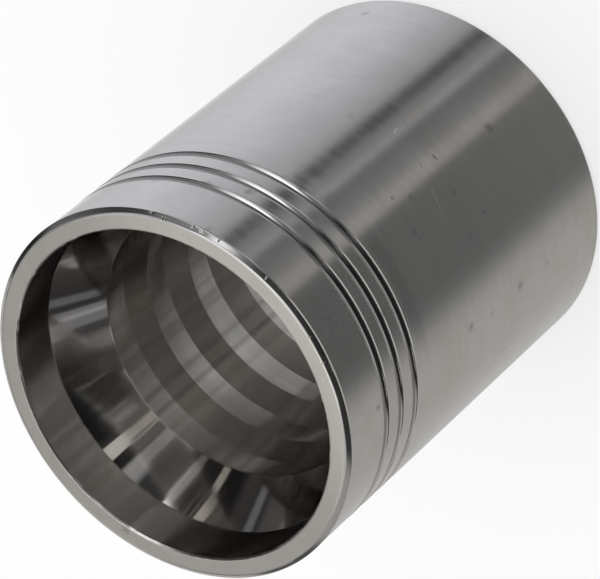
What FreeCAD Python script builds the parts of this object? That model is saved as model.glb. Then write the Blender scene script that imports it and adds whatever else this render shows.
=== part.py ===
# Crimp hose ferrule: one steel sleeve, turned from bar, that a press closes around a hose and its stem.
# It stands on its collar end with the hose mouth at the top. Z is the axis, and all sizes are in millimetres.
import FreeCAD, Part
import os

# Bores and walls, measured from the axis outwards
CREST_RADIUS = 10.25        # bore across the crests of the gripping rings
RING_HEIGHT = 0.55          # from a ring's crest down to the wall between the rings
COLLAR_LIP = 2.00           # how far the collar stands in from the ring crests
MOUTH_STEP = 2.15           # how far the plain mouth bore stands out from the ring crests
MOUTH_WALL = 1.60           # wall around the plain mouth bore

# Lengths along the axis, counted down from the mouth
SLEEVE_LENGTH = 34.30
MOUTH_BORE_LENGTH = 3.75    # plain bore that takes the cut end of the hose
LEAD_IN_LENGTH = 4.05       # smooth cone from the plain bore to the first ring
COLLAR_LENGTH = 3.00        # collar that locks on the stem
COLLAR_RELIEF = 3.00        # least length of plain wall between the last ring and the collar

# Gripping rings: a short land, a steep back and a long ramp, so that hose slides in and doesn't pull out
RING_PITCH = 4.98
RING_LAND = 0.10
RING_BACK = 0.22
RING_RAMP = 2.15

# Three shallow grooves around the outside, near the mouth, each with a narrow floor and two sloping sides
OUTER_GROOVES = 3
OUTER_GROOVE_PITCH = 1.87
FIRST_GROOVE_DEPTH = 4.75   # from the mouth to the middle of the first groove
GROOVE_FLOOR = 0.20         # width of the floor
GROOVE_SIDE = 0.23          # length along the axis of each sloping side
GROOVE_CUT = 0.08           # from the outside down to the floor

# Edges
MOUTH_CHAMFER_LENGTH = 0.27
MOUTH_CHAMFER_DROP = 0.38
MOUTH_CHAMFER_ROUND = 0.35
MOUTH_BORE_BREAK = 0.25
COLLAR_BREAK = 0.40
FOOT_BREAK = 0.30

# Worked out from the sizes above
root_radius = CREST_RADIUS + RING_HEIGHT
stem_radius = CREST_RADIUS - COLLAR_LIP
mouth_radius = CREST_RADIUS + MOUTH_STEP
outer_radius = mouth_radius + MOUTH_WALL
first_crest = MOUTH_BORE_LENGTH + LEAD_IN_LENGTH
collar_face = SLEEVE_LENGTH - COLLAR_LENGTH
ring_room = collar_face - COLLAR_RELIEF - first_crest
ring_count = 1 + int(ring_room / RING_PITCH)


def turned(outline):
    """Solid of revolution of an outline of (radius, depth below the mouth) points, closed on itself."""
    points = [FreeCAD.Vector(radius, 0, SLEEVE_LENGTH - depth) for radius, depth in outline]
    face = Part.Face(Part.makePolygon(points + points[:1]))
    return face.revolve(FreeCAD.Vector(0, 0, 0), FreeCAD.Vector(0, 0, 1), 360)


def blank():
    """Solid bar, cut to length, with its mouth edge chamfered and its foot edge broken."""
    chamfered_radius = outer_radius - MOUTH_CHAMFER_DROP
    bar = turned([
        (0, 0),
        (chamfered_radius, 0),
        (outer_radius, MOUTH_CHAMFER_LENGTH),
        (outer_radius, SLEEVE_LENGTH - FOOT_BREAK),
        (outer_radius - FOOT_BREAK, SLEEVE_LENGTH),
        (0, SLEEVE_LENGTH),
    ])
    face_edge = circles_at(bar, chamfered_radius, 0)
    return bar.makeFillet(MOUTH_CHAMFER_ROUND, face_edge)


def circles_at(shape, radius, depth):
    """Edges of a turned shape that run around the axis at this radius and depth."""
    height = SLEEVE_LENGTH - depth
    tolerance = 0.001
    found = []
    for edge in shape.Edges:
        box = edge.BoundBox
        level = abs(box.ZMin - height) < tolerance and abs(box.ZMax - height) < tolerance
        if level and abs(box.XMax - radius) < tolerance:
            found.append(edge)
    return found


def gripping_rings():
    """Inner wall along the rings, from the first crest to the last one's foot, as (radius, depth) points."""
    wall = []
    for ring in range(ring_count):
        crest = first_crest + ring * RING_PITCH
        if ring > 0:
            wall.append((root_radius, crest - RING_RAMP))
        wall.append((CREST_RADIUS, crest))
        wall.append((CREST_RADIUS, crest + RING_LAND))
        wall.append((root_radius, crest + RING_LAND + RING_BACK))
    return wall


def hose_space():
    """Everything that the boring tools take out, from the mouth through to the foot."""
    mouth = [
        (mouth_radius + MOUTH_BORE_BREAK, 0),
        (mouth_radius, MOUTH_BORE_BREAK),
        (mouth_radius, MOUTH_BORE_LENGTH),
    ]
    collar = [
        (root_radius, collar_face),
        (stem_radius + COLLAR_BREAK, collar_face),
        (stem_radius, collar_face + COLLAR_BREAK),
        (stem_radius, SLEEVE_LENGTH - COLLAR_BREAK),
        (stem_radius + COLLAR_BREAK, SLEEVE_LENGTH),
    ]
    axis = [(0, SLEEVE_LENGTH), (0, 0)]
    return turned(mouth + gripping_rings() + collar + axis)


def outer_groove(number):
    """Ring that the grooving tool sweeps around the outside, counted from the mouth.

    Its sides run on above the outside as far as its floor lies below, so that the cut comes out clean.
    """
    middle = FIRST_GROOVE_DEPTH + number * OUTER_GROOVE_PITCH
    at_floor = GROOVE_FLOOR / 2
    at_top = at_floor + 2 * GROOVE_SIDE
    return turned([
        (outer_radius + GROOVE_CUT, middle - at_top),
        (outer_radius - GROOVE_CUT, middle - at_floor),
        (outer_radius - GROOVE_CUT, middle + at_floor),
        (outer_radius + GROOVE_CUT, middle + at_top),
    ])


def ferrule():
    """The finished sleeve: the blank, less the hose space and the outer grooves."""
    sleeve = blank().cut(hose_space())
    for number in range(OUTER_GROOVES):
        sleeve = sleeve.cut(outer_groove(number))
    return sleeve.Solids[0]


os.makedirs("parts", exist_ok=True)
shape = ferrule()
shape.exportStep("parts/ferrule.step")
print("ferrule: valid", shape.isValid(), "volume", round(shape.Volume, 1), "mm3, rings", ring_count)
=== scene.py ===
"""Crimp hose ferrule: one turned steel sleeve, dressed over its CAD solid and stood on a pale floor."""
import logging
import math
from dataclasses import dataclass, field
from enum import Enum

import bmesh
import bpy
from mathutils import Matrix, Vector


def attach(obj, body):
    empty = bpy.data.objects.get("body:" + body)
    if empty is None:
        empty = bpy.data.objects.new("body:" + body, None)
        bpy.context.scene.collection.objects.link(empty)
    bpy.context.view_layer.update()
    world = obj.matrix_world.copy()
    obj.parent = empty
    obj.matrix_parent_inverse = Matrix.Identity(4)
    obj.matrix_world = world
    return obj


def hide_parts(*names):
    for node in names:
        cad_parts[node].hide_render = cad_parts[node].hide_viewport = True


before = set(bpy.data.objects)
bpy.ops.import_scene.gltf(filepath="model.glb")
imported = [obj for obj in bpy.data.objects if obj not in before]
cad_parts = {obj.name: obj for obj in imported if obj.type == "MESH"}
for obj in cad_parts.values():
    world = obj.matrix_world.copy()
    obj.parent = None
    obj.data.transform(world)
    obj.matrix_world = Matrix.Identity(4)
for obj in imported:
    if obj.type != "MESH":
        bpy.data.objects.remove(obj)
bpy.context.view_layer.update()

MM = 0.001
BODY = "root"
NODE = "ferrule"
WHITE = (1.0, 1.0, 1.0, 1.0)
Triple = tuple[float, float, float]
Pair = tuple[float, float]
Socket = bpy.types.NodeSocket
log = logging.getLogger("ferrule")


class Surface(Enum):
    """The ways in which the sleeve's surfaces were cut, in the order of its material slots."""

    OUTSIDE = 0
    FACE = 1
    BORE = 2
    CONE = 3
    RINGS = 4
    FORMED = 5


class Wiring:
    """Lays nodes in one tree and joins them."""

    def __init__(self, tree: bpy.types.NodeTree) -> None:
        """Keeps the tree that the nodes go into.

        Args:
            tree: The node tree to work in.
        """
        self.tree = tree
        self.given: object = None
        self.out: object = None

    @classmethod
    def group(cls, name: str, kind: str, inputs: dict[str, str], outputs: dict[str, str]) -> "Wiring":
        """Starts a node group.

        Args:
            name: The group's name.
            kind: The tree's type name.
            inputs: The kind of each input, by its name.
            outputs: The kind of each output, by its name.

        Returns:
            Its wiring, which keeps what the group is given and where its outputs go.
        """
        wire = cls(bpy.data.node_groups.new(name, kind))
        for way, sockets in (("INPUT", inputs), ("OUTPUT", outputs)):
            for each, what in sockets.items():
                wire.tree.interface.new_socket(each, in_out=way, socket_type="NodeSocket" + what)
        wire.given = wire.lay("NodeGroupInput")
        wire.out = wire.tree.nodes.new("NodeGroupOutput").inputs
        return wire

    def put(self, socket: Socket, value: object) -> None:
        """Joins an output to a socket, or writes a plain value on it.

        Args:
            socket: The input to fill.
            value: An output socket, or the value itself.
        """
        if isinstance(value, Socket):
            self.tree.links.new(value, socket)
        else:
            socket.default_value = value

    def lay(self, kind: str, inputs: dict[str | int, object] | None = None, **settings: object) -> object:
        """Adds one node and fills its inputs.

        Args:
            kind: The node's type name.
            inputs: What goes into each input, by the input's name or number.
            settings: Attributes to set on the node.

        Returns:
            The node's outputs.
        """
        node = self.tree.nodes.new(kind)
        for name, value in settings.items():
            setattr(node, name, value)
        for name, value in (inputs or {}).items():
            self.put(node.inputs[name], value)
        return node.outputs

    def sums(self, operation: str, *values: object) -> Socket:
        """Adds a Math node.

        Args:
            operation: What it works out.
            values: Its inputs, in order, as outputs or numbers.

        Returns:
            Its result.
        """
        return self.lay("ShaderNodeMath", dict(enumerate(values)), operation=operation)[0]

    def times(self, first: object, *others: object) -> Socket:
        """Multiplies values.

        Args:
            first: The first value.
            others: The values to multiply it by.

        Returns:
            Their product.
        """
        for other in others:
            first = self.sums("MULTIPLY", first, other)
        return first

    def ramp(self, value: object, low: float, high: float, out_low: float = 0.0, out_high: float = 1.0,
             curve: str = "SMOOTHSTEP") -> Socket:
        """Maps a value from one range onto another, held at the ends.

        Args:
            value: The value to map.
            low: Where the ramp starts.
            high: Where it ends.
            out_low: What it gives at the start.
            out_high: What it gives at the end.
            curve: The way in between.

        Returns:
            The mapped value.
        """
        numbers = dict(enumerate((value, low, high, out_low, out_high)))
        return self.lay("ShaderNodeMapRange", numbers, interpolation_type=curve)["Result"]

    def blend(self, factor: object, first: object, second: object, mode: str = "MIX") -> Socket:
        """Mixes two colours.

        Args:
            factor: How much of the second one.
            first: The colour underneath.
            second: The colour on top.
            mode: The way of mixing.

        Returns:
            The mixed colour.
        """
        colours = {0: factor, 6: first, 7: second}
        return self.lay("ShaderNodeMix", colours, data_type="RGBA", blend_type=mode)[2]

    def bands(self, place: object, stops: list[tuple[float, tuple[float, ...]]]) -> Socket:
        """Colours that follow one another along a value from 0 to 1.

        Args:
            place: The value.
            stops: Where each colour stands, and the colour.

        Returns:
            The colour at the value.
        """
        node = self.tree.nodes.new("ShaderNodeValToRGB")
        elements = node.color_ramp.elements
        while len(elements) < len(stops):
            elements.new(0.5)
        for element, (where, _) in zip(elements, stops):
            element.position = where
        for element, (_, colour) in zip(elements, stops):
            element.color = colour
        self.put(node.inputs[0], place)
        return node.outputs[0]

    def apart(self, place: object) -> tuple[Socket, Socket, Socket, Socket]:
        """Takes a place apart.

        Args:
            place: The place, as a vector output.

        Returns:
            Its x, y and z, and its distance from the axis.
        """
        x, y, z = self.lay("ShaderNodeSeparateXYZ", {0: place})
        across = self.sums("SQRT", self.sums("ADD", self.times(x, x), self.times(y, y)))
        return x, y, z, across


def new_object(name: str, data: bpy.types.ID) -> bpy.types.Object:
    """Makes an object and puts it in the scene.

    Args:
        name: Its name.
        data: Its mesh, curve, camera or light.

    Returns:
        The object.
    """
    made = bpy.data.objects.new(name, data)
    bpy.context.scene.collection.objects.link(made)
    return made


def new_material(name: str) -> tuple[bpy.types.Material, Wiring]:
    """Starts a material.

    Args:
        name: Its name.

    Returns:
        The material, and the wiring of its nodes.
    """
    material = bpy.data.materials.new(name)
    material.use_nodes = True
    return material, Wiring(material.node_tree)


@dataclass
class SleeveSizes:
    """Sizes of the turned sleeve in millimetres: radii from the axis, depths down from the mouth."""

    crest_radius: float = 10.25
    root_radius: float = 10.80
    stem_radius: float = 8.25
    mouth_radius: float = 12.40
    outer_radius: float = 14.00
    length: float = 34.30
    mouth_bore_length: float = 3.75
    first_crest: float = 7.80
    collar_length: float = 3.00
    rings: int = 5
    ring_pitch: float = 4.98
    ring_land: float = 0.10
    ring_back: float = 0.22
    ring_ramp: float = 2.15
    grooves: int = 3
    groove_pitch: float = 1.87
    first_groove: float = 4.75
    groove_width: float = 0.66
    groove_depth: float = 0.08
    groove_chords: int = 12
    face_dish: float = 0.03
    mouth_chamfer_drop: float = 0.38
    mouth_chamfer_length: float = 0.27
    mouth_bore_break: float = 0.12
    lip_height: float = 0.025
    lip_width: float = 0.17
    lips_end: float = 10.60
    lips_fade: float = 1.20
    collar_break: float = 0.40
    foot_break: float = 0.30

    @property
    def wall_radius(self) -> float:
        """Radius of the outside between the lips of the grooves."""
        return self.outer_radius - self.lip_height


@dataclass(frozen=True)
class Corner:
    """One corner of the sleeve's section.

    Attributes:
        radius: Distance from the axis, in millimetres.
        depth: Depth below the mouth, in millimetres.
        rounding: Radius of the rounding that a tool's nose leaves on it.
    """

    radius: float
    depth: float
    rounding: float = 0.0


@dataclass
class SectionLine:
    """The closed line of the sleeve's section, with small roundings at its corners.

    Attributes:
        sizes: The sleeve's sizes.
        arc_step: The most that one step of a rounding turns, in degrees.
        side_share: The largest share of a side that a rounding takes up.
        support: How far beyond a rounding an extra point holds the shading of its side.
        least_support: An extra point nearer than this is left out.
        wall_span: The longest step down the plain outside.
        wall_play: How far a point may lie inside the outer radius and still be on the plain outside.
        lip_rounding: Rounding at the foot of a lip.
        groove_entry: Rounding where a groove starts.
    """

    sizes: SleeveSizes
    arc_step: float = 18.0
    side_share: float = 0.42
    support: float = 0.05
    least_support: float = 0.004
    wall_span: float = 1.0
    wall_play: float = 0.01
    lip_rounding: float = 0.60
    groove_entry: float = 0.25

    def corners(self) -> list[Corner]:
        """Lays out the section's corners.

        Returns:
            Corners from the mouth's inner edge, down the outside and up through the bore.
        """
        s = self.sizes
        collar_top = s.length - s.collar_length
        line = [
            Corner(s.mouth_radius + s.mouth_bore_break, 0.0, 0.08),
            Corner(s.outer_radius - s.mouth_chamfer_drop, s.face_dish, 0.35),
            Corner(s.outer_radius, s.mouth_chamfer_length, 0.03),
            Corner(s.wall_radius, s.mouth_chamfer_length + s.lip_width, self.lip_rounding),
        ]
        for groove in range(s.grooves):
            line += self.groove_corners(groove)
        line += [
            Corner(s.wall_radius, s.lips_end - s.lips_fade, 3.0),
            Corner(s.outer_radius, s.lips_end, 3.0),
            Corner(s.outer_radius, s.length - s.foot_break, 0.12),
            Corner(s.outer_radius - s.foot_break, s.length, 0.12),
            Corner(s.stem_radius + s.collar_break, s.length, 0.08),
            Corner(s.stem_radius, s.length - s.collar_break, 0.08),
            Corner(s.stem_radius, collar_top + s.collar_break, 0.08),
            Corner(s.stem_radius + s.collar_break, collar_top, 0.08),
            Corner(s.root_radius, collar_top, 0.12),
        ]
        for ring in reversed(range(s.rings)):
            line += self.ring_corners(ring)
        line += [
            Corner(s.mouth_radius, s.mouth_bore_length, 0.05),
            Corner(s.mouth_radius, s.mouth_bore_break, 0.05),
        ]
        return line

    def ring_corners(self, ring: int) -> list[Corner]:
        """Corners of one gripping ring, from its steep back up to its ramp.

        Args:
            ring: The ring's number, counted from the mouth.

        Returns:
            Its corners, deepest first.
        """
        s = self.sizes
        crest = s.first_crest + ring * s.ring_pitch
        line = [
            Corner(s.root_radius, crest + s.ring_land + s.ring_back, 0.08),
            Corner(s.crest_radius, crest + s.ring_land, 0.03),
            Corner(s.crest_radius, crest, 0.03),
        ]
        if ring > 0:
            line.append(Corner(s.root_radius, crest - s.ring_ramp, 0.15))
        return line

    def groove_corners(self, groove: int) -> list[Corner]:
        """Corners of one shallow outer groove, as short chords of the tool's nose, and the lip it raised.

        Args:
            groove: The groove's number, counted from the mouth.

        Returns:
            Its corners, from the mouth's side.
        """
        s = self.sizes
        middle = s.first_groove + groove * s.groove_pitch
        reach = s.groove_width / 2.0
        nose = (reach ** 2 + s.groove_depth ** 2) / (2.0 * s.groove_depth)
        half = math.asin(reach / nose)
        centre = s.wall_radius - s.groove_depth + nose
        line: list[Corner] = []
        for step in range(s.groove_chords):
            angle = half * (2.0 * step / s.groove_chords - 1.0)
            edge = self.groove_entry if step == 0 else 0.0
            line.append(Corner(centre - nose * math.cos(angle), middle + nose * math.sin(angle), edge))
        line.append(Corner(s.outer_radius, middle + reach, 0.05))
        line.append(Corner(s.wall_radius, middle + reach + s.lip_width, self.lip_rounding))
        return line

    def rounded(self, before: Corner, corner: Corner, after: Corner) -> list[Pair]:
        """Points that replace one corner by its rounding.

        Args:
            before: The corner before it.
            corner: The corner itself.
            after: The corner after it.

        Returns:
            Points as (radius, depth), in millimetres.
        """
        here = Vector((corner.radius, corner.depth))
        back = Vector((before.radius, before.depth)) - here
        ahead = Vector((after.radius, after.depth)) - here
        if corner.rounding == 0.0:
            return [tuple(here)]
        turn = math.pi - back.angle(ahead)
        shorter = min(self.side_share * back.length, self.side_share * ahead.length)
        reach = min(corner.rounding * math.tan(turn / 2.0), shorter)
        start, end = here + back.normalized() * reach, here + ahead.normalized() * reach
        steps = max(2, math.ceil(math.degrees(turn) / self.arc_step))
        points = []
        for step in range(steps + 1):
            share = step / steps
            points.append(tuple(start.lerp(here, share).lerp(here.lerp(end, share), share)))
        for side, place in ((back, 0), (ahead, len(points) + 1)):
            extra = min(self.support, (side.length - reach) / 4.0)
            if extra > self.least_support:
                points.insert(place, tuple(here + side.normalized() * (reach + extra)))
        return points

    def points(self) -> list[Pair]:
        """Works out the whole line.

        Returns:
            Points as (radius, height above the foot), in metres.
        """
        corners = self.corners()
        line: list[Pair] = []
        for number, corner in enumerate(corners):
            line += self.rounded(corners[number - 1], corner, corners[(number + 1) % len(corners)])
        dense: list[Pair] = []
        for here, after in zip(line, line[1:] + line[:1]):
            run, drop = after[0] - here[0], after[1] - here[1]
            on_wall = here[0] > self.sizes.outer_radius - self.wall_play
            spans = max(1, math.ceil(drop / self.wall_span)) if on_wall else 1
            shares = [span / spans for span in range(spans)]
            dense += [(here[0] + run * share, here[1] + drop * share) for share in shares]
        return [(radius * MM, (self.sizes.length - depth) * MM) for radius, depth in dense]


@dataclass
class LatheTree:
    """Geometry Nodes that sweep a section round the axis and give each cut surface its own finish.

    Attributes:
        name: The tree's name.
        spindle: Radius of the circle that the section is swept round.
        burr_across: Distances from the rim between which the burr grows to its full height.
        burr_down: Depths below the mouth between which it does so.
        burr_torn: Values of its grain between which it does so.
        face_skin: Thickness of the layer under the mouth that counts as its face.
        foot_edge: Height of the foot's edges, which keep the outside's finish.
        groove_skin: How far inside the outer radius the grooves' finish starts.
    """

    name: str = "turned_form"
    spindle: float = 1.0 * MM
    burr_across: Pair = (0.26 * MM, 0.12 * MM)
    burr_down: Pair = (0.32 * MM, 0.10 * MM)
    burr_torn: Pair = (0.55, 0.72)
    face_skin: float = 0.02 * MM
    foot_edge: float = 0.42 * MM
    groove_skin: float = 0.030 * MM

    def build(self) -> bpy.types.NodeTree:
        """Builds the tree: sweep, burrs on the mouth's inner rim, shading, finishes.

        Returns:
            The node group.
        """
        numbers = ("Length", "Rim radius", "Outer radius", "Groove top", "Groove bottom", "Edge height",
                   "Cone top", "First ring", "Burr height", "Burr grain", "Sharp angle")
        inputs = {"Geometry": "Geometry", "Section": "Object", "Steps": "Int", "Seed": "Int",
                  **dict.fromkeys(numbers, "Float"), **{surface.name: "Material" for surface in Surface}}
        wire = Wiring.group(self.name, "GeometryNodeTree", inputs, {"Geometry": "Geometry"})
        section = wire.lay("GeometryNodeObjectInfo", {"Object": wire.given["Section"]})
        circle = wire.lay("GeometryNodeCurvePrimitiveCircle",
                          {"Resolution": wire.given["Steps"], "Radius": self.spindle})
        upright = wire.lay("GeometryNodeSetCurveNormal", {"Curve": circle["Curve"]}, mode="Z_UP")
        sweep = wire.lay("GeometryNodeCurveToMesh",
                         {"Curve": upright["Curve"], "Profile Curve": section["Geometry"]})
        shape = self.burrs(wire, sweep["Mesh"])
        shape = self.shading(wire, shape)
        wire.put(wire.out["Geometry"], self.finishes(wire, shape))
        return wire.tree

    def burrs(self, wire: Wiring, shape: Socket) -> Socket:
        """Raises a fine torn burr round the mouth's inner rim.

        Args:
            wire: The tree's wiring.
            shape: The swept mesh.

        Returns:
            The mesh with its burr.
        """
        given, place = wire.given, wire.lay("GeometryNodeInputPosition")[0]
        x, y, z, across = wire.apart(place)
        off_rim = wire.sums("ABSOLUTE", wire.sums("SUBTRACT", across, given["Rim radius"]))
        near_rim = wire.ramp(off_rim, *self.burr_across)
        near_top = wire.ramp(wire.sums("SUBTRACT", given["Length"], z), *self.burr_down)
        grain = wire.lay("ShaderNodeTexNoise", noise_dimensions="4D",
                         inputs={"Vector": place, "W": given["Seed"], "Scale": given["Burr grain"]})
        height = wire.times(near_rim, near_top, wire.ramp(grain[0], *self.burr_torn), given["Burr height"])
        inward = [wire.times(wire.sums("DIVIDE", part, across), -1.0) for part in (x, y)]
        inward = wire.lay("ShaderNodeCombineXYZ", dict(enumerate(inward)))
        moved = wire.lay("ShaderNodeVectorMath", {0: inward[0], "Scale": height}, operation="SCALE")
        return wire.lay("GeometryNodeSetPosition", {"Geometry": shape, "Offset": moved[0]})["Geometry"]

    def shading(self, wire: Wiring, shape: Socket) -> Socket:
        """Shades the form smooth, with its true edges kept crisp.

        Args:
            wire: The tree's wiring.
            shape: The mesh.

        Returns:
            The shaded mesh.
        """
        faces = {"Geometry": shape, "Shade Smooth": True}
        smooth = wire.lay("GeometryNodeSetShadeSmooth", faces, domain="FACE")
        angle = wire.lay("GeometryNodeInputMeshEdgeAngle")["Unsigned Angle"]
        sharp = wire.lay("FunctionNodeCompare", {0: angle, 1: wire.given["Sharp angle"]},
                         data_type="FLOAT", operation="GREATER_THAN")
        edges = {"Geometry": smooth["Geometry"], "Selection": sharp[0], "Shade Smooth": False}
        return wire.lay("GeometryNodeSetShadeSmooth", edges, domain="EDGE")["Geometry"]

    def finishes(self, wire: Wiring, shape: Socket) -> Socket:
        """Gives every face the finish of the cut that made it.

        Args:
            wire: The tree's wiring.
            shape: The mesh.

        Returns:
            The finished mesh, with nothing left as an instance.
        """
        given = wire.given
        _, _, z, across = wire.apart(wire.lay("GeometryNodeInputPosition")[0])
        above = wire.sums("GREATER_THAN", z, wire.sums("SUBTRACT", given["Length"], self.face_skin))
        within = wire.sums("LESS_THAN", across, given["Rim radius"])
        bored = wire.times(wire.sums("GREATER_THAN", z, self.foot_edge), within)
        in_band = wire.times(wire.sums("LESS_THAN", z, given["Groove top"]),
                             wire.sums("GREATER_THAN", z, given["Groove bottom"]))
        sunk = wire.sums("LESS_THAN", across, wire.sums("SUBTRACT", given["Outer radius"], self.groove_skin))
        over_edge = wire.sums("GREATER_THAN", z, wire.sums("SUBTRACT", given["Length"], given["Edge height"]))
        edged = wire.times(over_edge, wire.sums("SUBTRACT", 1.0, above))
        formed = wire.sums("MAXIMUM", wire.times(in_band, sunk), edged)
        chosen = {
            Surface.OUTSIDE: True,
            Surface.FACE: above,
            Surface.BORE: bored,
            Surface.CONE: wire.times(bored, wire.sums("LESS_THAN", z, given["Cone top"])),
            Surface.RINGS: wire.times(bored, wire.sums("LESS_THAN", z, given["First ring"])),
            Surface.FORMED: wire.times(formed, wire.sums("SUBTRACT", 1.0, within)),
        }
        shape = wire.lay("GeometryNodeRealizeInstances", {"Geometry": shape})["Geometry"]
        for surface, where in chosen.items():
            dress = {"Geometry": shape, "Selection": where, "Material": given[surface.name]}
            shape = wire.lay("GeometryNodeSetMaterial", dress)["Geometry"]
        return shape


def set_inputs(modifier: bpy.types.NodesModifier, values: dict[str, object]) -> None:
    """Writes a Geometry Nodes modifier's inputs by the sockets' identifiers.

    Args:
        modifier: The modifier to write on.
        values: Values by socket name.
    """
    for item in modifier.node_group.interface.items_tree:
        if item.in_out == "INPUT" and item.name in values:
            modifier[item.identifier] = values[item.name]


@dataclass(frozen=True)
class Mark:
    """One small mark on the outside or the mouth's face.

    Attributes:
        azimuth: Its place round the axis, in degrees from +X towards +Y.
        radius: Its distance from the axis, in millimetres.
        depth: Its depth below the mouth, in millimetres.
        around: Half its width round the axis.
        along: Half its length along the axis, or across the face.
        lean: How far it leans from the axis, in degrees.
    """

    azimuth: float
    radius: float
    depth: float
    around: float
    along: float
    lean: float = 0.0


DENTS = tuple(Mark(*values) for values in (
    (-88.1, 14, 14.1, 0.12, 0.22), (-86.6, 14, 18.4, 0.1, 0.42, 50), (-87, 14, 20.2, 0.4, 0.09, 6),
    (-74, 14, 19.4, 0.09, 0.45, 8), (-74.4, 14, 20.7, 0.1, 0.3, -6), (-97.5, 14, 17.55, 0.045, 1.4, 71),
    (-48, 13.72, 0.05, 0.09, 0.26), (-49, 13.76, 0.06, 0.09, 0.24), (-44.5, 13.97, 0.2, 0.26, 0.16),
    (-57.5, 13.97, 0.18, 0.16, 0.18), (-60.5, 13.96, 0.16, 0.3, 0.12), (-66, 13.94, 0.16, 0.07, 0.16),
    (-102.2, 13.66, 0.04, 0.06, 0.13), (-110.4, 13.66, 0.04, 0.06, 0.15), (-82.3, 13.92, 0.15, 0.09, 0.14),
))
SPOTS = tuple(Mark(*values) for values in (
    (-101.4, 14, 14.1, 0.16, 0.14), (-97.9, 14, 19.5, 0.15, 0.17), (-107.9, 14, 21.1, 0.18, 0.14),
    (-98.5, 14, 23.1, 0.14, 0.15), (-104, 14, 23.2, 0.17, 0.12), (-109.7, 14, 27.5, 0.15, 0.16),
    (-106.6, 14, 33, 0.16, 0.13), (-114, 14, 33, 0.15, 0.15), (-92.5, 14, 11.3, 0.12, 0.12),
))


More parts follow.
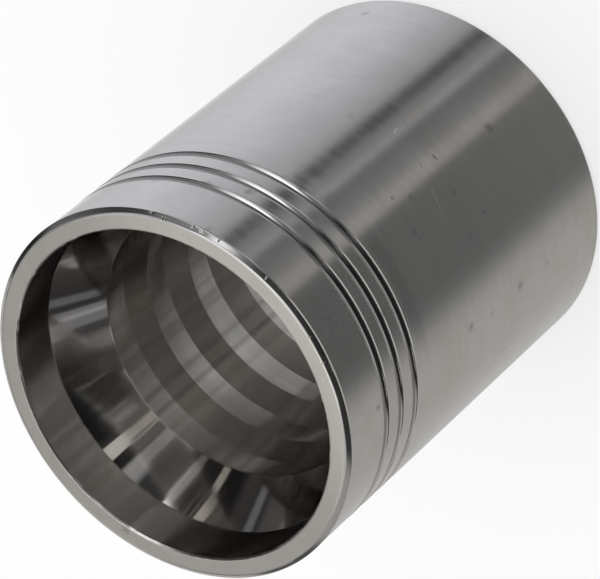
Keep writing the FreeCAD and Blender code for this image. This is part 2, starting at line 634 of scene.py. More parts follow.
class SteelEffects:
    """Node groups that the steel finishes share."""

    def __init__(self, sizes: SleeveSizes) -> None:
        """Builds each group once.

        Args:
            sizes: The sleeve's sizes.
        """
        self.sizes = sizes
        self.dents = self.placed_marks("dents", DENTS)
        self.spots = self.placed_marks("dark_spots", SPOTS)
        self.turning = self.turning_marks()
        self.handling = self.handling_marks()
        self.drawn = self.drawn_marks()

    @staticmethod
    def start(name: str, inputs: tuple[str, ...], outputs: tuple[str, ...]) -> tuple[Wiring, object, object]:
        """Starts a shader node group, whose first input is the place on the piece.

        Args:
            name: The group's name.
            inputs: Names of its number inputs.
            outputs: Names of its number outputs.

        Returns:
            The wiring, what the group is given and where its outputs go.
        """
        inputs = {"Place": "Vector", **dict.fromkeys(inputs, "Float")}
        wire = Wiring.group(name, "ShaderNodeTree", inputs, dict.fromkeys(outputs, "Float"))
        return wire, wire.given, wire.out

    def turning_marks(self) -> bpy.types.NodeTree:
        """Fine rings that a lathe tool leaves around the axis, on walls, cones and flat faces alike.

        Returns:
            The group. It puts out Height and Shade, both around 0.5.
        """
        wire, given, out = self.start("turning_marks", ("Lines", "Breakup"), ("Height", "Shade"))
        x, y, z, across = wire.apart(given["Place"])
        stretched = ((x, "Breakup"), (y, "Breakup"), (z, "Lines"), (across, "Lines"))
        *along, outwards = (wire.times(part, given[name]) for part, name in stretched)
        place = {"Vector": wire.lay("ShaderNodeCombineXYZ", dict(enumerate(along)))[0], "W": outwards}
        fine = wire.lay("ShaderNodeTexNoise", {**place, "Scale": 1.0, "Detail": 3.0, "Roughness": 0.65},
                        noise_dimensions="4D")[0]
        wide = wire.lay("ShaderNodeTexNoise", {**place, "Scale": 0.16, "Detail": 1.0},
                        noise_dimensions="4D")[0]
        wire.put(out["Height"], fine)
        wire.put(out["Shade"], wire.times(wire.sums("ADD", fine, wide), 0.5))
        return wire.tree

    def handling_marks(self) -> bpy.types.NodeTree:
        """Cloudy stains, faint smudges and fine short scratches from handling.

        Returns:
            The group. It puts out Stain, Smudges and Scratches, each from 0 to 1.
        """
        wire, given, out = self.start("handling_marks", ("Stain scale", "Smudge scale", "Scratch scale"),
                                      ("Stain", "Smudges", "Scratches"))
        place, fineness = given["Place"], given["Smudge scale"]
        finer_by, raggedness = 7.0, 0.30
        cloud = wire.lay("ShaderNodeTexNoise", {
            "Vector": place, "Scale": given["Stain scale"], "Detail": 5.0, "Roughness": 0.62,
            "Distortion": 0.6})
        wire.put(out["Stain"], wire.ramp(cloud[0], 0.36, 0.70))
        ragged = wire.lay("ShaderNodeTexNoise", {
            "Vector": place, "Scale": wire.times(fineness, finer_by), "Detail": 3.0})
        cells = wire.lay("ShaderNodeTexVoronoi", {"Vector": place, "Scale": fineness}, feature="F1")
        chance = wire.lay("ShaderNodeSeparateColor", {0: cells["Color"]})
        bent = wire.sums("MULTIPLY_ADD", wire.sums("SUBTRACT", ragged[0], 0.5), raggedness, cells["Distance"])
        wire.put(out["Smudges"], wire.times(wire.ramp(bent, 0.22, 0.04), wire.ramp(chance[0], 0.70, 0.95)))
        wire.put(out["Scratches"], self.scratches(wire))
        return wire.tree

    @staticmethod
    def scratches(wire: Wiring) -> Socket:
        """Two sets of short straight hairlines, which lean to either side of the axis.

        Args:
            wire: The group's wiring.

        Returns:
            How much of a scratch there is, from 0 to 1.
        """
        sets = []
        for lean, turn in ((0.5, 0.7), (-0.9, 2.1)):
            aligned = wire.lay("ShaderNodeMapping", {
                "Vector": wire.given["Place"], "Rotation": (lean, 0.3, turn), "Scale": (1.0, 1.0, 0.07)})
            cells = wire.lay("ShaderNodeTexVoronoi", feature="F1",
                             inputs={"Vector": aligned[0], "Scale": wire.given["Scratch scale"]})
            chance = wire.ramp(wire.lay("ShaderNodeSeparateColor", {0: cells["Color"]})[1], 0.86, 0.96)
            sets.append(wire.times(wire.ramp(cells["Distance"], 0.07, 0.02), chance))
        return wire.sums("MAXIMUM", *sets)

    def placed_marks(self, name: str, marks: tuple[Mark, ...]) -> bpy.types.NodeTree:
        """Small ragged marks, each at its own place.

        Args:
            name: The group's name.
            marks: The marks.

        Returns:
            The group. It puts out Share, which is 1 at the middle of a mark and 0 outside it.
        """
        wire, given, out = self.start(name, ("Raggedness",), ("Share",))
        least_thickness, fineness = 0.2, 9000.0
        grain = wire.lay("ShaderNodeTexNoise", {"Vector": given["Place"], "Scale": fineness, "Detail": 1.0})
        ragged = wire.times(wire.sums("SUBTRACT", grain[0], 0.5), given["Raggedness"])
        nearest = None
        for mark in marks:
            angle = math.radians(mark.azimuth)
            middle = (mark.radius * math.cos(angle), mark.radius * math.sin(angle),
                      self.sizes.length - mark.depth)
            reach = (max(mark.along, least_thickness), mark.around, mark.along)
            local = wire.lay("ShaderNodeMapping", {
                "Vector": given["Place"],
                "Location": tuple(part * MM for part in middle),
                "Rotation": (math.radians(mark.lean), 0.0, angle),
                "Scale": tuple(part * MM for part in reach),
            }, vector_type="TEXTURE")
            away = wire.lay("ShaderNodeVectorMath", {0: local[0]}, operation="LENGTH")["Value"]
            nearest = away if nearest is None else wire.sums("MINIMUM", nearest, away)
        wire.put(out["Share"], wire.ramp(wire.sums("ADD", nearest, ragged), 1.0, 0.0))
        return wire.tree

    def drawn_marks(self) -> bpy.types.NodeTree:
        """Faint streaks along the axis, from the boring tool being drawn back out.

        Returns:
            The group. It puts out Shade, around 0.5.
        """
        wire, given, out = self.start("drawn_marks", ("Streaks",), ("Shade",))
        level = (1.0, 1.0, 0.0)
        flat = wire.lay("ShaderNodeVectorMath", {0: given["Place"], 1: level}, operation="MULTIPLY")
        around = wire.lay("ShaderNodeVectorMath", {0: flat[0]}, operation="NORMALIZE")
        streaks = wire.lay("ShaderNodeTexNoise",
                           {"Vector": around[0], "Scale": given["Streaks"], "Detail": 1.0})
        wire.put(out["Shade"], streaks[0])
        return wire.tree


# What the finishes share: how many of each mark lie in a metre, and what the marks do to the metal
RING_BREAKUP = 60.0
STAIN_SCALE = 260.0
SMUDGE_SCALE = 420.0
SCRATCH_SCALE = 900.0
STREAK_SCALE = 9.0
RAGGEDNESS = 0.9
SHADE_RANGE = (0.35, 0.65)
ROUGHNESS_SHARES = (1.1, 0.9)
STAIN_ROUGHENS = 1.2
SMUDGE_ROUGHENS = 0.04
SCRATCH_DEPTH = 1.5
DENT_DEPTH = 0.025 * MM
LEAST_DEPTH = 1e-9
QUARTER_TURN = 0.25
STREAK_COLOUR = (0.22, 0.21, 0.20)
SMUDGE_COLOUR = (0.20, 0.20, 0.20)
SCRATCH_COLOUR = (0.72, 0.71, 0.69)
SPOT_COLOUR = (0.33, 0.33, 0.33)
# Painted shade: the dark colour laid into the grooves' floors
PAINTED_GROOVE_SHADE_COLOUR = (0.17, 0.165, 0.17)
# Where the painted shade on the grooves' floors fades in: shares of a groove's depth, and depths below the
# mouth in millimetres
FLOOR_SHARES = (0.75, 0.97)
FLOOR_DEPTHS = (1.0, 1.2)


@dataclass(frozen=True)
class TurnedSteel:
    """Finish of one cut surface of plain steel.

    Attributes:
        name: The material's name.
        colour: Colour of the clean metal.
        stained: Colour where it is stained.
        roughness: Roughness of the clean metal.
        along_axis: How much more the tool marks spread a highlight along the axis than around it.
        lines: Turning marks in a metre.
        line_depth: Depth of the turning marks in the bump, in metres.
        line_shade: How much the marks vary the metal's colour.
        stain: How much of the staining shows.
        smudges: How much of the dark smudges shows.
        scratches: How much of the scratches shows.
        streaks: How much streaks along the axis darken the metal.
        marks: How much of the placed dents and dark spots shows.
        painted_groove_shade: How much of the painted shade that darkens the grooves' floors shows.
    """

    name: str
    colour: Triple
    stained: Triple
    roughness: float
    along_axis: float
    lines: float
    line_depth: float
    line_shade: float
    stain: float
    smudges: float = 0.0
    scratches: float = 0.0
    streaks: float = 0.0
    marks: float = 0.0
    painted_groove_shade: float = 0.0

    @staticmethod
    def on_groove_floor(wire: Wiring, place: Socket, sizes: SleeveSizes) -> Socket:
        """Mask of the grooves' floors, where the painted shade goes: what lies sunk below the outside, and
        well below the mouth.

        Args:
            wire: The material's wiring.
            place: The object's own coordinates.
            sizes: The sleeve's sizes.

        Returns:
            The mask's socket.
        """
        _, _, height, across = wire.apart(place)
        sunk = [(sizes.wall_radius - share * sizes.groove_depth) * MM for share in FLOOR_SHARES]
        below = [(sizes.length - depth) * MM for depth in FLOOR_DEPTHS]
        return wire.times(wire.ramp(across, *sunk), wire.ramp(height, *below))

    def build(self, effects: SteelEffects) -> bpy.types.Material:
        """Builds the material.

        Args:
            effects: The shared node groups.

        Returns:
            The material.
        """
        material, wire = new_material(self.name)
        shader = material.node_tree.nodes["Principled BSDF"].inputs
        place = wire.lay("ShaderNodeTexCoord")["Object"]
        turning = wire.lay("ShaderNodeGroup", {"Place": place, "Lines": self.lines, "Breakup": RING_BREAKUP},
                           node_tree=effects.turning)
        scales = {"Stain scale": STAIN_SCALE, "Smudge scale": SMUDGE_SCALE, "Scratch scale": SCRATCH_SCALE}
        handling = wire.lay("ShaderNodeGroup", {"Place": place, **scales}, node_tree=effects.handling)
        drawn = wire.lay("ShaderNodeGroup", {"Place": place, "Streaks": STREAK_SCALE},
                         node_tree=effects.drawn)
        torn = {"Place": place, "Raggedness": RAGGEDNESS}
        dents, spots = (wire.lay("ShaderNodeGroup", torn, node_tree=group)
                        for group in (effects.dents, effects.spots))
        stain = wire.times(handling["Stain"], self.stain)
        smudges = wire.times(handling["Smudges"], self.smudges)
        scratches = wire.times(handling["Scratches"], self.scratches)
        shade = wire.ramp(turning["Shade"], *SHADE_RANGE, 1.0 - self.line_shade, 1.0, "LINEAR")
        base = wire.blend(stain, (*self.colour, 1.0), (*self.stained, 1.0))
        base = wire.blend(1.0, base, shade, "MULTIPLY")
        covers = [
            (wire.times(wire.ramp(drawn["Shade"], 0.55, 0.30), self.streaks), STREAK_COLOUR),
            (smudges, SMUDGE_COLOUR),
            (scratches, SCRATCH_COLOUR),
            (wire.times(wire.ramp(spots["Share"], 0.0, 0.6), self.marks), SPOT_COLOUR),
        ]
        # Painted shade: the grooves' floors are darkened in the metal's colour
        if self.painted_groove_shade:
            floors = self.on_groove_floor(wire, place, effects.sizes)
            covers.append((wire.times(floors, self.painted_groove_shade), PAINTED_GROOVE_SHADE_COLOUR))
        for share, colour in covers:
            base = wire.blend(share, base, (*colour, 1.0))
        rough = [self.roughness * share for share in ROUGHNESS_SHARES]
        rough = wire.ramp(turning["Shade"], *SHADE_RANGE, *rough, "LINEAR")
        rough = wire.times(rough, wire.ramp(stain, 0.0, 1.0, 1.0, STAIN_ROUGHENS, "LINEAR"))
        rough = wire.sums("ADD", rough, wire.times(smudges, SMUDGE_ROUGHENS))
        height = wire.sums("SUBTRACT", turning["Height"], wire.times(scratches, SCRATCH_DEPTH))
        dent_lines = DENT_DEPTH / max(self.line_depth, LEAST_DEPTH)
        height = wire.sums("SUBTRACT", height, wire.times(dents["Share"], self.marks, dent_lines))
        bump = wire.lay("ShaderNodeBump", {"Distance": self.line_depth, "Height": height})
        for name, value in {
            "Base Color": base, "Metallic": 1.0, "Roughness": rough,
            "Anisotropic": self.along_axis, "Anisotropic Rotation": QUARTER_TURN, "Normal": bump[0],
            "Tangent": wire.lay("ShaderNodeTangent", direction_type="RADIAL", axis="Z")[0],
        }.items():
            wire.put(shader[name], value)
        return material


@dataclass
class Sleeve:
    """The dressed ferrule, which stands for its CAD solid.

    Attributes:
        sizes: The sleeve's sizes.
        lathe: The tree that turns it.
        steps: Steps of the sweep round the axis.
        seed: Seed of the burr's grain.
        burr_height: The most that the burr stands in from the rim, in metres.
        burr_grain: Fineness of the burr's grain.
        sharp_angle: Edges that turn more than this stay crisp, in degrees.
        groove_margin: How far the grooves' finish may reach beyond the middles of the outer ones.
        ring_margin: How far above the first crest the rings' finish starts.
    """

    sizes: SleeveSizes = field(default_factory=SleeveSizes)
    lathe: LatheTree = field(default_factory=LatheTree)
    steps: int = 300
    seed: int = 4
    burr_height: float = 0.05 * MM
    burr_grain: float = 3200.0
    sharp_angle: float = 24.0
    groove_margin: float = 0.6
    ring_margin: float = 0.01

    def finishes(self) -> dict[Surface, bpy.types.Material]:
        """Builds the finishes.

        Returns:
            Each finish's material, by the surface it goes on.
        """
        effects = SteelEffects(self.sizes)
        clean = (0.58, 0.575, 0.57)
        warm = (0.50, 0.475, 0.45)
        steels = {
            Surface.OUTSIDE: TurnedSteel(
                "steel_turned_outside", clean, warm, roughness=0.16, along_axis=0.80, lines=9000.0,
                line_depth=0.15e-6, line_shade=0.03, stain=0.35, smudges=0.55, scratches=0.5, marks=1.0),
            Surface.FACE: TurnedSteel(
                "steel_faced_mouth", (0.60, 0.59, 0.575), warm, roughness=0.10, along_axis=0.5, lines=7000.0,
                line_depth=0.3e-6, line_shade=0.05, stain=0.35, smudges=0.4, scratches=0.3, marks=1.0),
            Surface.BORE: TurnedSteel(
                "steel_bored_mouth", (0.72, 0.70, 0.68), (0.66, 0.63, 0.60), roughness=0.15, along_axis=0.95,
                lines=6000.0, line_depth=0.0, line_shade=0.06, stain=0.15),
            Surface.CONE: TurnedSteel(
                "steel_bored_cone", (0.59, 0.575, 0.56), (0.53, 0.50, 0.47), roughness=0.05, along_axis=1.0,
                lines=6000.0, line_depth=0.0, line_shade=0.06, stain=0.2),
            Surface.RINGS: TurnedSteel(
                "steel_cut_rings", (0.66, 0.645, 0.62), (0.60, 0.57, 0.54), roughness=0.17, along_axis=1.0,
                lines=5000.0, line_depth=0.0, line_shade=0.08, stain=0.4, streaks=0.5),
            # The formed edges carry the painted shade on the grooves' floors
            Surface.FORMED: TurnedSteel(
                "steel_formed_edges", clean, warm, roughness=0.12, along_axis=0.3, lines=14000.0,
                line_depth=0.2e-6, line_shade=0.04, stain=0.15, smudges=0.2, marks=1.0, painted_groove_shade=0.9),
        }
        return {surface: steel.build(effects) for surface, steel in steels.items()}

    def section(self) -> bpy.types.Object:
        """Draws the section's line, laid out for the lathe tree.

        Returns:
            Its curve object.
        """
        points = SectionLine(self.sizes).points()
        curve = bpy.data.curves.new("sleeve_section", "CURVE")
        curve.dimensions = "3D"
        spline = curve.splines.new("POLY")
        spline.points.add(len(points) - 1)
        for point, (radius, height) in zip(spline.points, points):
            point.co = (radius - self.lathe.spindle, -height, 0.0, 1.0)
        spline.use_cyclic_u = True
        return new_object("sleeve_section", curve)

    def turned(self) -> bpy.types.Object:
        """Sweeps the section and turns the result into a plain mesh object.

        Returns:
            The sleeve's object.
        """
        s = self.sizes
        line = self.section()
        host = new_object("sleeve_lathe", bpy.data.meshes.new("sleeve_lathe"))
        modifier = host.modifiers.new("turned_form", "NODES")
        modifier.node_group = self.lathe.build()
        last_groove = s.first_groove + (s.grooves - 1) * s.groove_pitch
        heights = {
            "Length": 0.0,
            "Groove top": s.first_groove - self.groove_margin,
            "Groove bottom": last_groove + self.groove_margin,
            "Cone top": s.mouth_bore_length,
            "First ring": s.first_crest - self.ring_margin,
        }
        set_inputs(modifier, {
            "Section": line,
            "Steps": self.steps,
            "Seed": self.seed,
            **{name: (s.length - depth) * MM for name, depth in heights.items()},
            "Rim radius": (s.mouth_radius + s.mouth_bore_break) * MM,
            "Outer radius": s.outer_radius * MM,
            "Edge height": s.mouth_chamfer_length * MM,
            "Burr height": self.burr_height,
            "Burr grain": self.burr_grain,
            "Sharp angle": math.radians(self.sharp_angle),
            **{surface.name: material for surface, material in self.finishes().items()},
        })
        bpy.context.view_layer.update()
        ready = host.evaluated_get(bpy.context.evaluated_depsgraph_get())
        mesh = bpy.data.meshes.new_from_object(ready)
        host.modifiers.clear()
        for spent in (line, host):
            bpy.data.objects.remove(spent)
        mesh.name = "ferrule_sleeve"
        return new_object("ferrule_sleeve", mesh)

    def face_out(self, mesh: bpy.types.Mesh) -> None:
        """Turns the whole closed mesh right side out.

        Args:
            mesh: The sleeve's mesh.
        """
        work = bmesh.new()
        work.from_mesh(mesh)
        if work.calc_volume(signed=True) < 0.0:
            bmesh.ops.reverse_faces(work, faces=work.faces)
        work.to_mesh(mesh)
        work.free()

    def build(self) -> bpy.types.Object:
        """Builds the sleeve and puts it in its CAD node's place.

        Returns:
            The sleeve's object.
        """
        sleeve = self.turned()
        self.face_out(sleeve.data)
        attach(sleeve, BODY)
        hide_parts(NODE)
        return sleeve


@dataclass(frozen=True)
class Panel:
    """One card or dark gap in a row of panels round the studio.

    Attributes:
        start: Azimuth where it starts, in degrees from +X towards +Y.
        glow: How bright it is, where 1 is white.
        tint: Its colour, multiplied by the glow.
    """

    start: float
    glow: float
    tint: Triple = (1.0, 1.0, 1.0)


@dataclass(frozen=True)
class PanelRow:
    """A row of panels round the studio.

    Attributes:
        name: What the row is.
        floor_angle: Elevation where the row starts, in degrees.
        softness: Half the height over which it fades into the row below.
        panels: Its panels, in order of azimuth from -180.
    """

    name: str
    floor_angle: float
    softness: float
    panels: tuple[Panel, ...]


@dataclass(frozen=True)
class Strip:
    """A narrow card, bright or dark, that stands in front of the panels.

    Attributes:
        name: What the card is.
        left: Azimuth of its left edge, in degrees.
        right: Azimuth of its right edge.
        foot_left: Elevation of its lower edge at the left, in degrees.
        foot_right: Elevation of its lower edge at the right.
        height: How far up it reaches from its lower edge.
        foot_softness: Half the height over which its lower and upper edges fade.
        side_softness: Half the width over which its sides fade.
        glow: How bright it is, where 1 is white.
        tint: Its colour, multiplied by the glow.
    """

    name: str
    left: float
    right: float
    foot_left: float
    foot_right: float
    height: float
    foot_softness: float
    side_softness: float
    glow: float
    tint: Triple = (1.0, 1.0, 1.0)


# Tints of the cards
WARM = (1.03, 1.0, 0.95)
COOL = (0.98, 0.98, 1.04)
GREEN = (0.97, 1.01, 1.0)
CREAM = (1.04, 1.0, 0.93)
SKY = (0.97, 0.99, 1.05)
# The rows, from under the floor up to overhead, each with its name, floor angle, softness and panels
PANEL_ROWS = tuple(PanelRow(*row, tuple(Panel(*values) for values in panels)) for *row, panels in (
    ("tray", -90, 1, (
        (-180, 0.28, WARM), (-60, 0.28), (0, 0.25), (180, 0.28, WARM))),
    ("table", -68, 3, (
        (-180, 1.1, WARM), (-95, 1.1, WARM), (-86, 0.2), (-72, 0.12), (-62, 0.35), (-55, 0.65),
        (-40, 0.7), (-32, 0.4), (-22, 0.08), (-8, 0.12), (10, 0.24), (35, 0.34), (80, 0.55, WARM),
        (180, 0.5, WARM))),
    ("low", -57, 2, (
        (-180, 0.52, WARM), (-170, 0.5, WARM), (-164, 0.42, WARM), (-152, 0.19, GREEN),
        (-142, 0.128, GREEN), (-100, 0.118, GREEN), (-92, 0.15), (-88, 0.42, WARM), (-83, 0.45, WARM),
        (-76, 0.3), (-68, 0.21), (-62.5, 0.18), (-60.5, 0.38), (-57.5, 0.38), (-55, 0.25), (-50.5, 0.2),
        (-48, 0.02), (-42, 0.02), (-38.5, 0.36), (-25, 0.57, COOL), (-10, 0.79, COOL), (20, 0.91, COOL),
        (45, 0.8, COOL), (60, 0.66), (72, 0.8), (80, 1.32), (87, 0.68), (105, 0.6), (130, 0.56, WARM),
        (150, 0.51, WARM), (180, 0.52, WARM))),
    ("waist", -36, 3, (
        (-180, 0.5, WARM), (-174, 0.5), (-168, 0.02), (-98, 0.02), (-90, 0.1), (-84, 0.03), (-78, 0.03),
        (-73, 0.16), (-64, 0.2), (-58, 0.6), (-53, 2), (-38, 2), (-24, 0.4), (-6, 0.2), (15, 0.26),
        (34, 0.4), (42, 0.62), (95, 0.62, WARM), (150, 0.54, WARM), (180, 0.5, WARM))),
    ("horizon", 2, 2, (
        (-180, 0.03), (-160, 0.01), (-98, 0.01), (-90, 0.06), (-84, 0.02), (-78, 0.02), (-73, 0.16),
        (-62, 0.14), (-54, 0.6), (-50, 1.3), (-44, 1.3), (-38, 0.7), (-31, 0.3), (-24, 0.02), (50, 0.02),
        (66, 0.08), (82, 0.13), (110, 0.11), (142, 0.08), (151, 0.1), (159, 0.18), (173.5, 0.32),
        (176.5, 0.09), (180, 0.06))),
    ("shoulder", 19, 3, (
        (-180, 0.12), (-124, 0.1), (-112, 0.1), (-82, 0.06), (-70, 0.15), (-54, 0.18), (-46, 0.5),
        (-40, 1.15), (-30, 1.25), (-24, 0.8), (-15, 0.24), (-6, 0.08), (20, 0.06), (40, 0.2), (56, 0.4),
        (75, 0.54, WARM), (120, 0.53, WARM), (160, 0.42, WARM), (166, 0.36), (170, 0.04))),
    ("gallery", 46.8, 1, (
        (-180, 0.04), (-124, 0.02), (-82, 0.02), (-58, 0.06), (-48, 0.2), (-42, 0.6), (-36, 1.6),
        (-24, 1.6), (-16, 0.4), (-6, 0.26), (10, 0.26), (24, 0.7), (60, 0.74), (78, 0.78, WARM),
        (105, 0.78, WARM), (130, 0.66, WARM), (158, 0.6), (170, 0.04), (180, 0.04))),
    ("eaves", 64, 3, (
        (-180, 0.6), (-168, 0.03), (-60, 0.03), (-20, 0.6), (0, 1.3), (60, 1.4), (90, 1.3, WARM),
        (150, 1.3, WARM), (180, 0.6))),
    ("overhead", 76, 4, (
        (-180, 0.6, WARM), (-120, 1.3), (-60, 1.5), (40, 1.3), (90, 1.2), (140, 0.7, WARM),
        (180, 0.6, WARM))),
))
# The strips, which stand as streaks in the lead-in cone and along the mouth's edge
STRIPS = tuple(Strip(*values) for values in (
    ("window", 87, 100.7, 10.5, 10.5, 5.5, 0.5, 0.8, 1.05, CREAM),
    ("window_near", -92.2, -84.2, 10.5, 10.5, 5.5, 0.5, 0.6, 0.62, CREAM),
    ("blind", 113.3, 127, 11.8, 11.8, 4.2, 0.06, 1.3, 0.95),
    ("blind_near", -76.6, -67, 11.8, 11.8, 4.2, 0.06, 1.5, 0.43),
    ("shade_near", -65, -48, 10.4, 8.2, 7, 0.4, 1, 0.04),
    ("doorway", 163, 172.8, 9.22, 9.22, 6.8, 0.15, 1, 1.05, SKY),
    ("tube", -160.9, -149, 4.8, 4.8, 7, 0.3, 0.4, 1.3, CREAM),
    ("tube_far", 60.5, 77.5, 4.95, 4.95, 1.25, 0.1, 0.6, 3.2, CREAM),
    ("tube_high", -146.4, -137.4, 55.06, 53.32, 3, 0.06, 0.3, 1.2, CREAM),
    ("shelf_end", -46.3, -42.3, 36, 36, 24, 1, 0.5, 0.27, SKY),
    ("shelf_books", -53.5, -46.3, 36, 36, 22, 1, 1, 0.24, SKY),
    ("shelf_wide", -64.5, -53, 36, 36, 20, 1, 1.5, 0.4, SKY),
    ("shelf_lit", -70.3, -64.5, 36, 36, 19, 1, 0.6, 0.68, SKY),
    ("shelf_box", -75.2, -70.3, 36, 36, 19, 1, 0.8, 0.43, SKY),
    ("shelf_post", -92, -83, 34, 34, 16, 1, 2, 0.3, SKY),
    ("shade_high", -54, 18, 50, 62.2, 3.6, 0.3, 0.6, 0.08),
    ("door_edge", 92, 107, 3, 3, 2.3, 0.3, 1, 0.65),
    ("doorway_high", -180, -170.5, 58, 58, 5, 0.5, 1.5, 0.28),
))


def lit(card: Panel | Strip) -> tuple[float, ...]:
    """The colour of a card, from its glow and tint."""
    return (*(card.glow * part for part in card.tint), 1.0)


@dataclass
class Studio:
    """Pale floor, soft light, the ring of panels that the steel mirrors, and the camera.

    Lengths are in metres and angles in degrees. The bore card's bands are pairs of a place in millimetres and
    the brightness there.
    """

    aim: Triple = (-0.16 * MM, 0.0, 17.98 * MM)
    distance: float = 304.47 * MM
    azimuth: float = 0.0
    elevation: float = 46.324
    roll: float = -130.535
    lens: float = 263.1
    floor_size: float = 12.0
    floor_drop: float = 0.01 * MM
    floor_colour: Triple = (0.96, 0.96, 0.96)
    floor_shade: float = 0.985
    floor_grain: float = 40.0
    floor_glow: float = 0.6
    lamp_place: Triple = (0.25, 0.35, 1.0)
    lamp_size: float = 0.8
    lamp_power: float = 0.8
    card_radius: float = 8.6 * MM
    card_sides: int = 60
    card_glow: float = 0.95
    card_stripes: tuple[Pair, ...] = (
        (-8.4, 0.2), (-7.6, 0.3), (-6.5, 0.44), (-3, 0.44), (-0.6, 0.46), (0.8, 0.58), (3.3, 0.58),
        (3.8, 0.4), (4.6, 0.6), (5.4, 0.36), (6.1, 0.36), (6.6, 0.6), (7.2, 0.56), (7.8, 0.35), (8.3, 0.3))
    card_fade: tuple[Pair, ...] = (
        (-8, 1.4), (-6, 1.3), (-4.2, 0.62), (-1.5, 0.68), (0.8, 1.15), (2.6, 1.15), (3.8, 0.3), (8.4, 0.3))

    def strip_share(self, wire: Wiring, turned: Socket, raised: Socket, strip: Strip) -> Socket:
        """How much of a strip stands in the direction looked at.

        Args:
            wire: The world's wiring.
            turned: The direction's azimuth in degrees.
            raised: Its elevation in degrees.
            strip: The strip.

        Returns:
            Its share, from 0 to 1.
        """
        rise = (strip.foot_right - strip.foot_left) / (strip.right - strip.left)
        foot = wire.sums("MULTIPLY_ADD", turned, rise, strip.foot_left - rise * strip.left)
        over = wire.sums("SUBTRACT", raised, foot)
        ends, sides = strip.foot_softness, strip.side_softness
        return wire.times(wire.ramp(over, -ends, ends),
                          wire.ramp(over, strip.height + ends, strip.height - ends),
                          wire.ramp(turned, strip.left - sides, strip.left + sides),
                          wire.ramp(turned, strip.right + sides, strip.right - sides))

    def build_world(self) -> None:
        """Builds the world: white behind the object, even light on the floor, and the panels in the metal."""
        world = bpy.data.worlds.new("studio")
        world.use_nodes = True
        world.cycles.sampling_method = "NONE"
        world.node_tree.nodes.clear()
        wire = Wiring(world.node_tree)
        x, y, z = wire.lay("ShaderNodeSeparateXYZ", {0: wire.lay("ShaderNodeTexCoord")["Generated"]})
        turned = wire.sums("ARCTAN2", y, x)
        around = wire.sums("ADD", wire.sums("DIVIDE", turned, 2.0 * math.pi), 0.5)
        azimuth = wire.sums("DEGREES", turned)
        raised = wire.sums("DEGREES", wire.sums("ARCSINE", z))
        colour, *others = [
            wire.bands(around, [((panel.start + 180.0) / 360.0, lit(panel)) for panel in row.panels])
            for row in PANEL_ROWS]
        for row, other in zip(PANEL_ROWS[1:], others):
            share = wire.ramp(raised, row.floor_angle - row.softness, row.floor_angle + row.softness)
            colour = wire.blend(share, colour, other)
        for strip in STRIPS:
            colour = wire.blend(self.strip_share(wire, azimuth, raised, strip), colour, lit(strip))
        panels, white = (wire.lay("ShaderNodeBackground", {"Color": each})[0] for each in (colour, WHITE))
        glossy = wire.lay("ShaderNodeLightPath")["Is Glossy Ray"]
        shown = wire.lay("ShaderNodeMixShader", {0: glossy, 1: white, 2: panels})[0]
        wire.lay("ShaderNodeOutputWorld", {"Surface": shown})
        bpy.context.scene.world = world

    @staticmethod
    def flat_piece(name: str, outline: list[Triple], material: bpy.types.Material) -> bpy.types.Object:
        """A flat piece with one face.

        Args:
            name: Its name.
            outline: Its corners, in order.
            material: Its material.

        Returns:
            Its object.
        """
        mesh = bpy.data.meshes.new(name)
        mesh.from_pydata(outline, [], [tuple(range(len(outline)))])
        mesh.materials.append(material)
        return new_object(name, mesh)

    def build_floor(self) -> None:
        """Lays a wide pale floor just under the foot."""
        material, wire = new_material("floor_paper")
        shader = material.node_tree.nodes["Principled BSDF"]
        place = wire.lay("ShaderNodeTexCoord")["Object"]
        grain = wire.lay("ShaderNodeTexNoise", {"Vector": place, "Scale": self.floor_grain})
        soft = (self.floor_shade * part for part in self.floor_colour)
        paper = wire.blend(grain[0], (*self.floor_colour, 1.0), (*soft, 1.0))
        wire.put(shader.inputs["Base Color"], paper)
        wire.put(shader.inputs["Roughness"], 0.9)
        wire.put(shader.inputs["Specular IOR Level"], 0.1)
        glow = wire.lay("ShaderNodeEmission", {"Color": WHITE})
        seen = wire.times(wire.lay("ShaderNodeLightPath")["Is Camera Ray"], self.floor_glow)
        lifted = wire.lay("ShaderNodeMixShader", {0: seen, 1: shader.outputs[0], 2: glow[0]})
        wire.put(material.node_tree.nodes["Material Output"].inputs["Surface"], lifted[0])
        half = self.floor_size / 2.0
        corners = ((-half, -half), (half, -half), (half, half), (-half, half))
        floor = self.flat_piece("floor", [(*corner, -self.floor_drop) for corner in corners], material)
        floor.visible_glossy = False

    def build_bore_card(self) -> None:
        """Lays a striped bright card on the floor inside the foot's hole, seen only in the steel."""
        material, wire = new_material("bore_card")
        material.node_tree.nodes.clear()
        x, y, _ = wire.lay("ShaderNodeSeparateXYZ", {0: wire.lay("ShaderNodeTexCoord")["Object"]})
        stripes = self.card_bands(wire, x, self.card_stripes)
        fade = self.card_bands(wire, y, self.card_fade)
        glow = wire.blend(1.0, stripes, fade, "MULTIPLY")
        shine = wire.lay("ShaderNodeEmission", {"Color": glow, "Strength": self.card_glow})
        wire.lay("ShaderNodeOutputMaterial", {"Surface": shine[0]})
        turns = [math.tau * side / self.card_sides for side in range(self.card_sides)]
        edge = [(self.card_radius * math.cos(turn), self.card_radius * math.sin(turn), 0.0) for turn in turns]
        card = self.flat_piece("bore_card", edge, material)
        for ray in ("camera", "diffuse", "transmission", "volume_scatter", "shadow"):
            setattr(card, "visible_" + ray, False)

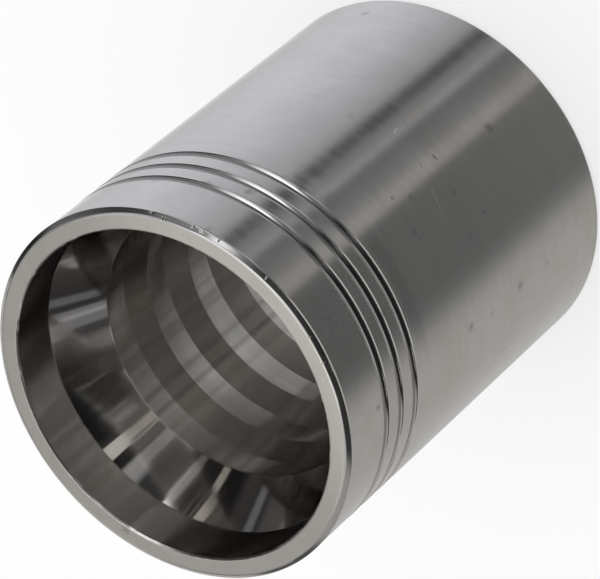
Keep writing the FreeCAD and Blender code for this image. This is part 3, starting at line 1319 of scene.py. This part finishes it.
    def card_bands(self, wire: Wiring, place: Socket, bands: tuple[Pair, ...]) -> Socket:
        """Bands of brightness across the bore card.

        Args:
            wire: The card material's wiring.
            place: The place across the card, in metres.
            bands: Pairs of a place in millimetres and the brightness there.

        Returns:
            The brightness, as a grey.
        """
        span = 2.0 * self.card_radius
        stops = [(where * MM / span + 0.5, (glow, glow, glow, 1.0)) for where, glow in bands]
        return wire.bands(wire.sums("MULTIPLY_ADD", place, 1.0 / span, 0.5), stops)

    def build_camera(self) -> None:
        """Places the camera by its aim, distance, azimuth, elevation and roll."""
        turn, rise, tilt = (math.radians(angle) for angle in (self.azimuth, self.elevation, self.roll))
        back = Vector((math.sin(turn) * math.cos(rise), -math.cos(turn) * math.cos(rise), math.sin(rise)))
        side = Vector((math.cos(turn), math.sin(turn), 0.0))
        over = back.cross(side)
        right = side * math.cos(tilt) + over * math.sin(tilt)
        up = back.cross(right)
        data = bpy.data.cameras.new("camera")
        data.lens = self.lens
        data.sensor_width = 36.0
        data.clip_start, data.clip_end = 0.01, 20.0
        camera = new_object("camera", data)
        place = Vector(self.aim) + back * self.distance
        camera.matrix_world = Matrix.Translation(place) @ Matrix((right, up, back)).transposed().to_4x4()
        bpy.context.scene.camera = camera

    def build_lamp(self) -> None:
        """Hangs a large soft lamp overhead, which gives the floor its soft shadow."""
        light = bpy.data.lights.new("overhead", "AREA")
        light.shape = "DISK"
        light.size = self.lamp_size
        light.energy = self.lamp_power
        lamp = new_object("overhead", light)
        lamp.location = self.lamp_place
        lamp.rotation_euler = Vector(self.lamp_place).to_track_quat("Z", "Y").to_euler()
        lamp.visible_glossy = False

    def build(self) -> None:
        """Builds the whole studio and sets how colours are shown."""
        scene = bpy.context.scene
        scene.view_settings.view_transform = "Standard"
        scene.cycles.max_bounces = 16
        scene.cycles.glossy_bounces = 12
        scene.cycles.blur_glossy = 0.0
        self.build_camera()
        self.build_world()
        self.build_floor()
        self.build_bore_card()
        self.build_lamp()


def main() -> None:
    """Builds the studio and the sleeve, in that order."""
    logging.basicConfig(level=logging.INFO, format="%(name)s: %(message)s")
    Studio().build()
    sleeve = Sleeve().build()
    faces = sum(len(polygon.vertices) - 2 for polygon in sleeve.data.polygons)
    log.info("%s: %d triangles, %d finishes", sleeve.name, faces, len(sleeve.data.materials))


if __name__ == "__main__":
    main()
